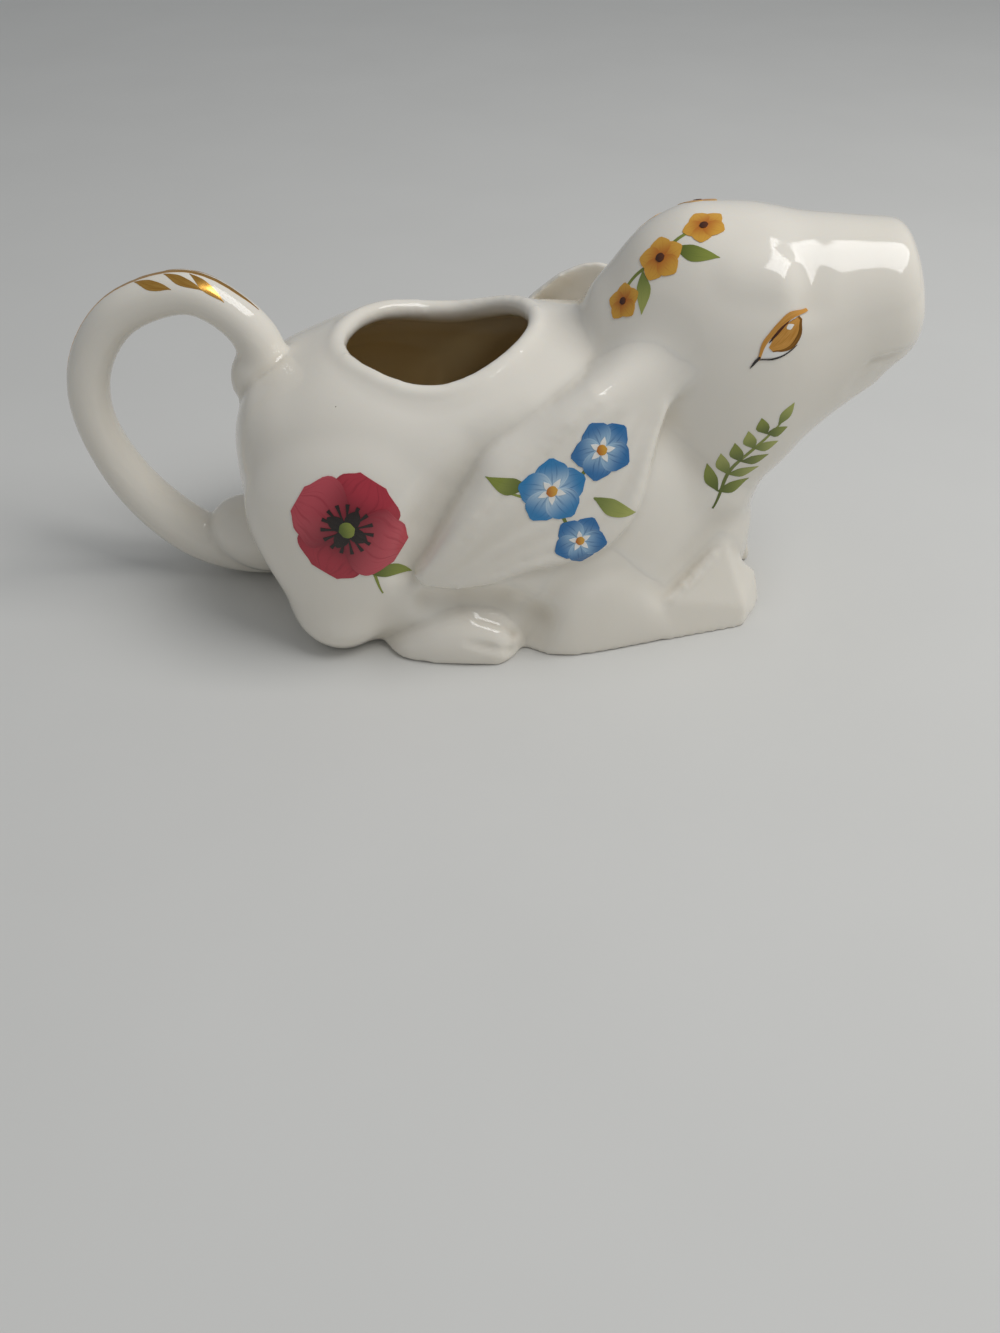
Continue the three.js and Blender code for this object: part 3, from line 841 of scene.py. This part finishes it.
def makePorcelain():
    look = porcelainLook
    material, tree, shader = startMaterial("glazed porcelain")
    where = addNode(tree, "TexCoord").outputs["Object"]
    cloud = noise(tree, where, perMetre(look["cloud"]), 3)
    # shares of glaze pooling with painted crease shade, and of painted inside shade, kept on the skin
    kept = addNode(tree, "Attribute", {"attribute_name": "glaze"}).outputs["Color"]
    share = addNode(tree, "SeparateColor", links={"Color": kept})
    # creases darker: glaze that pools there, and painted shade
    crease = worked(tree, "MULTIPLY", share.outputs["Red"], look["poolingAndCreaseShadeShare"])
    poolingAndCreaseShade = mixed(tree, crease, mixed(tree, cloud, look["body"], look["thin"]), look["poolingAndCreaseShade"])
    # painted brown shade on the walls inside the pot
    insideShadeColour = mixed(tree, cloud, look["insideShade"], look["deepInsideShade"])
    withInsideShade = mixed(tree, share.outputs["Green"], poolingAndCreaseShade, insideShadeColour)
    spacing = {"Scale": perMetre(look["speckSpacing"])}
    cells = addNode(tree, "TexVoronoi", inputs=spacing, links={"Vector": where})
    dot = worked(tree, "LESS_THAN", cells.outputs["Distance"], look["speckSize"] / look["speckSpacing"])
    chosen = addNode(tree, "SeparateColor", links={"Color": cells.outputs["Color"]}).outputs["Red"]
    speck = worked(tree, "MULTIPLY", dot, worked(tree, "GREATER_THAN", chosen, look["speckFrom"]))
    tree.links.new(mixed(tree, speck, withInsideShade, look["speck"]), shader.inputs["Base Color"])
    tree.links.new(ranged(tree, cloud, look["rough"]), shader.inputs["Roughness"])
    ripple = noise(tree, where, perMetre(look["ripple"]), 2)
    depth = {"Strength": look["rippleShare"], "Distance": look["rippleDepth"] * mm}
    wave = addNode(tree, "Bump", inputs=depth, links={"Height": ripple})
    tree.links.new(wave.outputs["Normal"], shader.inputs["Normal"])
    shader.inputs["IOR"].default_value = look["bending"]
    shader.inputs["Subsurface Weight"].default_value = look["glow"]
    shader.inputs["Subsurface Radius"].default_value = Vector(look["glowReach"]) * mm
    shader.inputs["Subsurface Scale"].default_value = 1
    return material


# Onglaze enamel, printed and fired: clear colour that runs from root to tip of each stroke, with fine
# printed streaks and the glaze's own gloss
enamelLook = {
    "fade": {"From Max": 0.85}, "streaks": (1.2, 16, 1),
    "veins": {"From Min": 0.52, "From Max": 0.72, "To Max": 0.75},
    "gloss": 6, "rough": {"To Min": 0.08, "To Max": 0.2}, "bending": 1.5,
}


def makeEnamel(name, root, tip, streak):
    look = enamelLook
    material, tree, shader = startMaterial(name)
    along = addNode(tree, "UVMap").outputs["UV"]
    lengthwise = addNode(tree, "SeparateXYZ", links={"Vector": along}).outputs["X"]
    fade = ranged(tree, lengthwise, look["fade"], {"interpolation_type": "SMOOTHSTEP"})
    drawn = addNode(tree, "Mapping", inputs={"Scale": look["streaks"]}, links={"Vector": along})
    veins = ranged(tree, noise(tree, drawn.outputs[0], 1, 3), look["veins"])
    colour = mixed(tree, veins, mixed(tree, fade, root, tip), streak)
    tree.links.new(colour, shader.inputs["Base Color"])
    where = addNode(tree, "TexCoord").outputs["Object"]
    rough = ranged(tree, noise(tree, where, perMetre(look["gloss"]), 2), look["rough"])
    tree.links.new(rough, shader.inputs["Roughness"])
    shader.inputs["IOR"].default_value = look["bending"]
    return material


# Burnished gold, brushed on thin: warm metal with brush streaks, worn darker where it is thin
goldLook = {"streaks": (1.5, 9, 1), "brush": 1.4, "thin": {"From Min": 0.4, "From Max": 0.7}}


def makeGold(name, bright, worn, smoothest, roughest):
    material, tree, shader = startMaterial(name)
    along = addNode(tree, "UVMap").outputs["UV"]
    drawn = addNode(tree, "Mapping", inputs={"Scale": goldLook["streaks"]}, links={"Vector": along})
    brush = noise(tree, drawn.outputs[0], goldLook["brush"], 4)
    colour = mixed(tree, ranged(tree, brush, goldLook["thin"]), bright, worn)
    tree.links.new(colour, shader.inputs["Base Color"])
    rough = ranged(tree, brush, {"To Min": smoothest, "To Max": roughest})
    tree.links.new(rough, shader.inputs["Roughness"])
    shader.inputs["Metallic"].default_value = 1
    return material


porcelain = makePorcelain()
gold = makeGold("burnished gold", "#e6b25c", "#c4883a", 0.12, 0.3)
mattGold = makeGold("unburnished gold", "#eab060", "#cf8f3e", 0.4, 0.6)
darkGold = makeGold("thin worn gold", "#a8763a", "#7d5524", 0.35, 0.5)
enamel = {
    name: makeEnamel(name + " enamel", *colours) for name, colours in {
        "crimson": ("#5e1320", "#b23442", "#8a1f2e"), "rose": ("#7a1a28", "#c4505a", "#9c2a38"),
        "sky": ("#c3d9e6", "#2f7fb5", "#1d5f96"), "deep sky": ("#a9c8dc", "#2a6ea6", "#174f86"),
        "yolk": ("#b8661c", "#d9a23c", "#bd7a24"), "leaf": ("#566323", "#8b9440", "#6d7a2e"),
        "pale leaf": ("#6f7c35", "#a8ad5c", "#87924a"), "ink": ("#1a1412", "#2a201c", "#120d0b"),
        "chalk": ("#e6e4de", "#f0eee8", "#d8d6cf"), "umber": ("#3a1a0b", "#5a2c12", "#2b1207"),
    }.items()
}


def dress(piece, node):  # glaze pooling, painted crease and inside shade, and seamless shading from the whole skin, then the bookkeeping
    nearest = [skinPoints.find(spot)[1] for spot in readPoints(piece, "co")]
    colours = np.zeros((len(nearest), 4))
    colours[:, :2] = skinPoolingAndShade[nearest]
    colours[:, 3] = 1
    kept = piece.data.color_attributes.new("glaze", "FLOAT_COLOR", "POINT")
    kept.data.foreach_set("color", colours.ravel())
    pick(piece)
    bpy.ops.object.shade_smooth()
    piece.data.normals_split_custom_set_from_vertices(skinNormals[nearest])
    piece.data.materials.clear()
    piece.data.materials.append(porcelain)
    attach(piece, "root")
    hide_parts(node)


for node, piece in pieces.items():
    dress(piece, node)
print("porcelain dressed:", len(pieces), "pieces")

# Strokes of colour: flat blades in mm, widths and spines as values along them, wrapped onto the skin
outlines = {
    "petal": [0.28, 0.75, 1, 0.99, 0.74, 0.12], "leaf": [0.08, 0.6, 1, 0.88, 0.5, 0.03],
    "disc": [0.05, 0.745, 0.943, 1, 0.943, 0.745, 0.05], "stem": [0.6, 1, 1, 0.9, 0.5],
}
coat = {  # mm, and the least width as a share
    "lift": 0.05, "layer": 0.04, "thickness": 0.12, "above": 14, "fine": 0.7, "least": 0.02,
}


def makeBlade(look, length, width, outline, root=(0, 0), turn=0, spine=(0, 0), layer=0):
    deselectAll()
    spans, across = max(6, round(length / coat["fine"])), max(2, round(width / coat["fine"]))
    bpy.ops.mesh.primitive_grid_add(x_subdivisions=spans, y_subdivisions=across, size=1)
    blade = bpy.context.object
    shape = outlines[outline] if isinstance(outline, str) else outline
    for point in blade.data.vertices:
        along = point.co.x + 0.5
        wide = max(onCurve(shape, along), coat["least"]) * width
        flat = Vector((along * length, point.co.y * wide + onCurve(spine, along)))
        flat.rotate(Matrix.Rotation(math.radians(turn), 2))
        point.co = (root[0] + flat.x, root[1] + flat.y, layer * coat["layer"])
    blade.data.materials.append(look)
    return blade


def layOn(name, blades, at, aim):  # at in mm beside the skin, aim is where the blades' X points
    spot, outward = skin.closest_point_on_mesh(Vector(at) * mm)[1:3]
    ahead = (Vector(aim) - outward * outward.dot(Vector(aim))).normalized()
    up = outward.cross(ahead) * (-1 if at[1] > 0 else 1)  # the left side mirrors the right
    piece = blades[0]
    pick(piece)
    for blade in blades[1:]:
        blade.select_set(True)
    if len(blades) > 1:
        bpy.ops.object.join()
    piece.name = name
    for point in piece.data.vertices:
        start = spot + (ahead * point.co.x + up * point.co.y + outward * coat["above"]) * mm
        hit, there, normal = skin.ray_cast(start, -outward)[:3]
        if not hit:
            there, normal = skin.closest_point_on_mesh(start)[1:3]
        point.co = there + normal * (coat["lift"] + point.co.z) * mm
    pick(piece)
    if at[1] > 0:
        bpy.ops.object.mode_set(mode="EDIT")
        bpy.ops.mesh.select_all(action="SELECT")
        bpy.ops.mesh.flip_normals()
        deselectAll()
    modify(piece, "SOLIDIFY", thickness=coat["thickness"] * mm, offset=-1)
    pick(piece)
    bpy.ops.object.shade_smooth_by_angle(angle=math.radians(40))
    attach(piece, "root")
    return piece


# Eyes: a gold lid over a gold iris, drawn in umber and ink, from the rear corner to the front one
eye = {
    "at": (55, 20.7, 66.2), "towards": (9.7, -3.7, 9.5), "scale": 0.87,
    "strokes": [  # look, length, width, outline, root, turn, spine and layer
        (enamel["chalk"], 11, 5.2, [0.1, 0.7, 1, 1, 0.8, 0.3],
         (0.6, 0), 0, [0, -0.4, -0.7, -0.6, -0.2, 0.4], 0),
        (darkGold, 9, 4.9, [0.2, 0.75, 1, 0.98, 0.75, 0.2],
         (3.3, 0), 0, [-0.5, -0.9, -1.1, -0.95, -0.6, 0.1], 1),
        (mattGold, 8.5, 3.9, [0.3, 0.78, 1, 0.96, 0.75, 0.2],
         (3.3, 0), 0, [-0.1, -0.4, -0.58, -0.45, -0.2, 0.3], 2),
        # a painted highlight: a white glint on the iris
        (enamel["chalk"], 1.7, 1.3, [0.3, 1, 0.7, 0.1], (8.7, 0.8), -20, [0, 0], 3),
        (enamel["umber"], 7, 0.8, [0.2, 1, 0.9, 0.3], (4, 0), 0, [1.2, 1.6, 1.75, 1.6], 3),
        (mattGold, 14.4, 1.1, [0.5, 0.95, 1, 1.1, 1.5, 0.7], (-0.1, 0), 0, [0, 1.7, 2.3, 2.5, 2, 0.2], 4),
        (enamel["ink"], 8, 0.4, [0.6, 1, 0.8, 0.6, 0.2], (0, -0.1), 0, [0, -1.9, -3, -3.5, -3.6], 3),
        (enamel["ink"], 3.2, 0.6, [0.15, 0.8, 1, 0.8], (-2.6, 0.1), 0, [-0.3, 0, 0.1], 5),
    ],
}


def makeEye(name, side):
    blades = [makeBlade(*stroke) for stroke in eye["strokes"]]
    for point in (point for blade in blades for point in blade.data.vertices):
        point.co.xy *= eye["scale"]
    ahead, out, height = eye["at"]
    toX, toOut, toZ = eye["towards"]
    piece = layOn(name + "Eye", blades, (ahead, side * out, height), (toX, side * toOut, toZ))
    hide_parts(name + "_eye")


for name, side in sides.items():
    makeEye(name, side)
print("eyes painted")

# Handle gilding: a crest line over the loop with leaf strokes that branch to both sides
gilding = {  # shares are of the way along the handle
    "from": 0.21, "to": 0.52, "steps": 9, "line": 1.2, "overlap": 0.2,
    "leaves": (0.297, 0.327, 0.357), "leaf": (8.5, 2), "leafTurn": -25, "leafBend": -0.4, "leafAside": 12,
}


def handleSpot(share, around):  # a place on the tube, in degrees from its outer side, and its heading
    rings = smoothRings([(x, 0, z, radius, radius) for x, z, radius in handleRows()], 12)
    number = round(share * (len(rings) - 1))
    here, after = Vector(rings[number][:3]), Vector(rings[number + 1][:3])
    heading = (after - here).normalized()
    turn = math.radians(around)
    outward = Vector((heading.z, 0, -heading.x)) * math.cos(turn) + Vector((0, 1, 0)) * math.sin(turn)
    return here + outward * rings[number][3], heading


lastStep = gilding["steps"] - 1
crestStep = (gilding["to"] - gilding["from"]) / lastStep
crestEnds = {0: [0.2, 0.7, 1], lastStep: [1, 0.7, 0.1]}
for number in range(gilding["steps"]):
    share = gilding["from"] + crestStep * number
    spot, heading = handleSpot(share, 0)
    reach = (handleSpot(share + crestStep, 0)[0] - spot).length + gilding["overlap"]
    stroke = makeBlade(gold, reach, gilding["line"], crestEnds.get(number, [1, 1, 1]))
    layOn(f"crestLine{number}", [stroke], spot, heading)
for number, share in enumerate(gilding["leaves"]):
    for name, side in sides.items():
        spot, heading = handleSpot(share, side * gilding["leafAside"])
        spine = [0, gilding["leafBend"], 0]
        stroke = makeBlade(gold, *gilding["leaf"], "leaf", turn=gilding["leafTurn"], spine=spine)
        layOn(f"{name}GoldLeaf{number}", [stroke], spot, -heading)
print("handle gilded")


# Transfers: a garden print of poppy, forget-me-nots, primroses and sprigs, the same on both sides, in mm
def makeFlower(look, heartLook, centre, radius, turn, motif):
    count = motif["petals"]
    heart, broad = motif["heart"] * radius, motif["broad"] * radius
    heartEdge = (centre[0] - heart, centre[1])
    blades = [makeBlade(enamel[heartLook], 2 * heart, 2 * heart, "disc", heartEdge, layer=5)]
    for number in range(count):
        petalTurn = turn + 360 * number / count
        petal = makeBlade(enamel[look], radius, broad, "petal", centre, petalTurn, layer=1 + 0.4 * number)
        blades.append(petal)
    return blades


def makeLeaf(look, root, turn, length, width, bend=0):
    return makeBlade(enamel[look], length, width, "leaf", root, turn, [0, bend, 0.4 * bend], 0.5)


def makeGreenery(motif):  # stems as root, turn, length and bend, and leaves
    stems = [
        makeBlade(enamel["leaf"], length, 0.7, "stem", root, turn, [0, bend, 0])
        for root, turn, length, bend in motif["stems"]
    ]
    return stems + [makeLeaf(*leaf) for leaf in motif["leaves"]]


poppy = {
    "stems": [((-1, -2), -78, 15, 1.4)], "leaves": [("leaf", (1.5, -11), -20, 8, 3, 0.6)],
    "petals": [("crimson", 45), ("crimson", 225), ("rose", 135), ("rose", 315)],
    "petal": (11.5, 15, [0.3, 0.72, 1, 1, 0.86, 0.4]), "petalSpine": [0, 0.6, -0.4, 0.5],
    "blotch": (4.6, 3, "petal"), "stamen": (5.4, 0.5, [0.5, 0.6, 0.8, 1.6]), "stamens": 15, "heart": 3.4,
}


def makePoppy():
    blades = makeGreenery(poppy)
    for number, (look, turn) in enumerate(poppy["petals"]):
        blades.append(makeBlade(enamel[look], *poppy["petal"], (0, 0), turn, poppy["petalSpine"], 1 + number))
        blades.append(makeBlade(enamel["ink"], *poppy["blotch"], (0, 0), turn, layer=5.2 + 0.1 * number))
    for number in range(poppy["stamens"]):
        turn = 360 * number / poppy["stamens"]
        blades.append(makeBlade(enamel["ink"], *poppy["stamen"], (0, 0), turn, layer=6 + 0.02 * number))
    heart = poppy["heart"]
    return [*blades, makeBlade(enamel["leaf"], heart, heart, "disc", (-heart / 2, 0), layer=7)]


forgetMeNots = {
    "stems": [((4, -2), 160, 14, 1.2), ((2, -10), 95, 9, 0.6), ((10, 4), 205, 9, 0.8)],
    "leaves": [("leaf", (-4.5, 2.6), 150, 8.5, 3.8, 0.8), ("pale leaf", (8, -4), -35, 10, 3.6, -0.8)],
    "flowers": [
        ("sky", (0, 0), 7.2, 8), ("deep sky", (11.5, 5.5), 6.4, 30), ("deep sky", (3.5, -12.5), 5.6, 50),
    ],
    "petals": 5, "broad": 0.98, "heart": 0.17, "ray": (0.42, 0.2),  # shares of the radius
}


def makeForgetMeNots():
    blades = makeGreenery(forgetMeNots)
    rayLength, rayWidth = forgetMeNots["ray"]
    for look, centre, radius, turn in forgetMeNots["flowers"]:
        blades += makeFlower(look, "yolk", centre, radius, turn, forgetMeNots)
        for number in range(forgetMeNots["petals"]):
            rayTurn = turn + 360 * (number + 0.5) / forgetMeNots["petals"]  # between two petals
            blades.append(makeBlade(
                enamel["chalk"], rayLength * radius, rayWidth * radius, "leaf", centre, rayTurn, layer=4,
            ))
    return blades


primroses = {
    "stems": [((0, 0), 200, 12, -1), ((0, 0), 25, 9, 0.6)],
    "leaves": [("pale leaf", (-4, -1), 250, 8, 3, 0.6), ("leaf", (3, 1), -30, 9, 3.2, -0.6)],
    "flowers": [((0, 0), 4.6, 10), ((9, 4), 3.9, 40), ((-9.5, -4.5), 3.6, 0)],
    "petals": 5, "broad": 0.95, "heart": 0.2,  # shares of the radius
}


def makePrimroses():
    blades = makeGreenery(primroses)
    for centre, radius, turn in primroses["flowers"]:
        blades += makeFlower("yolk", "umber", centre, radius, turn, primroses)
    return blades


sprig = {
    "stem": (24, 0.8), "bend": 1.6, "pairs": 5, "first": 4, "every": 4.2, "aside": 1.2, "turn": 48,
    "leaf": 7.2, "shorter": 0.7, "width": 2.7, "leafBend": 0.5,
    "tip": ("pale leaf", (23.5, 0.2), 0, 5.5, 2.4),
}


def makeSprig():
    blades = [makeBlade(enamel["leaf"], *sprig["stem"], "stem", spine=[0, sprig["bend"], 0])]
    for number in range(sprig["pairs"]):
        root = (sprig["first"] + sprig["every"] * number, sprig["aside"])
        length = sprig["leaf"] - sprig["shorter"] * number
        for side in sides.values():
            look = "leaf" if (number + side) % 2 else "pale leaf"
            bend = sprig["leafBend"] * side
            blades.append(makeLeaf(look, root, side * sprig["turn"], length, sprig["width"], bend))
    return [*blades, makeLeaf(*sprig["tip"])]


transfers = {  # where each sits, x, distance out and z in mm, and where its X points
    "poppy": (makePoppy, (-25, 36, 35), (1, 0, 0.25)),
    "forgetMeNots": (makeForgetMeNots, (16, 31, 42), (1, 0, 0.2)),
    "primroses": (makePrimroses, (34, 12, 84), (1, 0, 0.3)),
    "sprig": (makeSprig, (50, 17, 31), (0.5, 0, 1)),
}
for motif, (make, (ahead, out, height), aim) in transfers.items():
    for name, side in sides.items():
        layOn(f"{motif}_{name}", make(), (ahead, side * out, height), aim)
bpy.data.objects.remove(skin)
print("transfers fired on:", sorted(transfers))

# Room: a large window on the nose side, soft fill and a plain pale floor
room = {  # metres and watts
    "window": (0.42, -0.1, 0.7), "aim": (0, 0, 0.04), "width": 0.55, "height": 0.42, "power": 3.8,
    "fill": "#e9edf2", "fillPower": 0.36, "floor": ("#d9d8d4", "#d3d2ce"), "cloud": 60, "rough": 0.9,
}
bpy.ops.object.light_add(type="AREA", location=room["window"])
window = bpy.context.object
window.name = "window"
window.data.shape = "RECTANGLE"
window.data.size = room["width"]
window.data.size_y = room["height"]
window.data.energy = room["power"]
window.rotation_euler = (Vector(room["aim"]) - window.location).to_track_quat("-Z", "Y").to_euler()
sky = bpy.data.worlds.new("soft fill")
bpy.context.scene.world = sky
sky.use_nodes = True
sky.node_tree.nodes["Background"].inputs["Color"].default_value = linear(room["fill"])
sky.node_tree.nodes["Background"].inputs["Strength"].default_value = room["fillPower"]


def makeFloorPaint():  # matt pale paint with a faint unevenness
    material, tree, shader = startMaterial("matt pale paint")
    where = addNode(tree, "TexCoord").outputs["Object"]
    cloud = noise(tree, where, perMetre(room["cloud"]), 4)
    tree.links.new(mixed(tree, cloud, *room["floor"]), shader.inputs["Base Color"])
    shader.inputs["Roughness"].default_value = room["rough"]
    return material


deselectAll()
bpy.ops.mesh.primitive_plane_add(size=4)
floor = bpy.context.object
floor.name = "floor"
floor.data.materials.append(makeFloorPaint())
bpy.context.scene.view_settings.view_transform = "Standard"
print("room lit")
